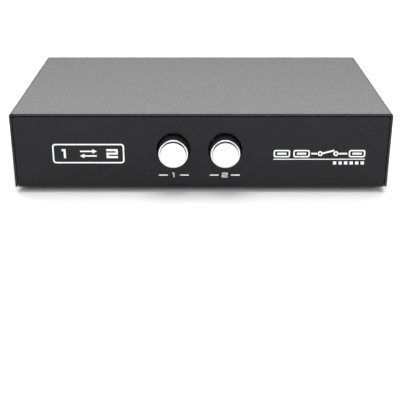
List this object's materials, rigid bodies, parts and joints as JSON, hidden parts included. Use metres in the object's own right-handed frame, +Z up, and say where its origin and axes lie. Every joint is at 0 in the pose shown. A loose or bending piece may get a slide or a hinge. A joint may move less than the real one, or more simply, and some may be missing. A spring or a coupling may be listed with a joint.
{
  "type": "two-port manual selector switch box",
  "caption": "Flat black sheet-steel switch box with two silver push buttons in front, and square host ports beside a flat device port behind.",
  "frame": {"origin": "on the table, under the middle of the whole object's box", "axes": "+X to the right of a person facing the buttons, +Y from the buttons to the ports, +Z up"},
  "size_m": [0.1132, 0.0664, 0.0248],
  "materials": {
    "case_paint": "satin black powder coat",
    "cover_paint": "satin black powder coat",
    "screw_black": "black zinc plate",
    "zinc_steel": "bright zinc plate",
    "foot_rubber": "matte",
    "board_green": "solder mask over glass laminate",
    "solder": "bright",
    "port_plate": "bright nickel plate, warm",
    "port_insulator": "moulded white",
    "port_well": "moulded dark grey",
    "contact_gold": "gold flash",
    "terminal_tin": "tin plate",
    "switch_body": "moulded black",
    "plunger_plastic": "moulded ivory",
    "spring_steel": "drawn wire",
    "knob_black": "moulded black, satin",
    "cap_silver": "spun satin face, bright rim",
    "print_white": "screen-printed ink"
  },
  "bodies": {
    "case": {"base_chassis": "case_paint", "board_screws": "zinc_steel", "board_standoffs": "zinc_steel", "circuit_board": "board_green", "cover_screws": "screw_black", "device_port_contacts": "contact_gold", "device_port_core": "port_insulator", "device_port_shell": "port_plate", "front_markings": "print_white", "host_port_1_contacts": "contact_gold", "host_port_1_shell": "port_plate", "host_port_1_tongue": "port_insulator", "host_port_1_well": "port_well", "host_port_2_contacts": "contact_gold", "host_port_2_shell": "port_plate", "host_port_2_tongue": "port_insulator", "host_port_2_well": "port_well", "latch_spring": "spring_steel", "rear_markings": "print_white", "rubber_feet": "foot_rubber", "solder_joints": "solder", "switch_1_housing": "switch_body", "switch_1_return_spring": "spring_steel", "switch_1_terminals": "terminal_tin", "switch_2_housing": "switch_body", "switch_2_return_spring": "spring_steel", "switch_2_terminals": "terminal_tin", "switch_bracket": "zinc_steel", "top_cover": "cover_paint"},
    "button_1": {"button_1_knob": "knob_black", "button_1_cap": "cap_silver", "switch_1_plunger": "plunger_plastic", "switch_1_bridges": "contact_gold", "switch_1_retainer": "zinc_steel"},
    "button_2": {"button_2_knob": "knob_black", "button_2_cap": "cap_silver", "switch_2_plunger": "plunger_plastic", "switch_2_bridges": "contact_gold", "switch_2_retainer": "zinc_steel"},
    "latch": {"latch_plate": "zinc_steel"}
  },
  "joints": [
    {"name": "button_1_press", "type": "slide", "parent": "case", "child": "button_1", "axis": [0, 1, 0], "range_m": [0, 0.003], "stiffness_N_per_m": 300, "springref_m": -0.003, "deforming": ["switch_1_return_spring"]},
    {"name": "button_2_press", "type": "slide", "parent": "case", "child": "button_2", "axis": [0, 1, 0], "range_m": [0, 0.003], "stiffness_N_per_m": 300, "springref_m": -0.003, "deforming": ["switch_2_return_spring"]},
    {"name": "latch_slide", "type": "slide", "parent": "case", "child": "latch", "axis": [1, 0, 0], "range_m": [0, 0.0012], "stiffness_N_per_m": 200, "springref_m": -0.0015, "deforming": ["latch_spring"]}
  ]
}
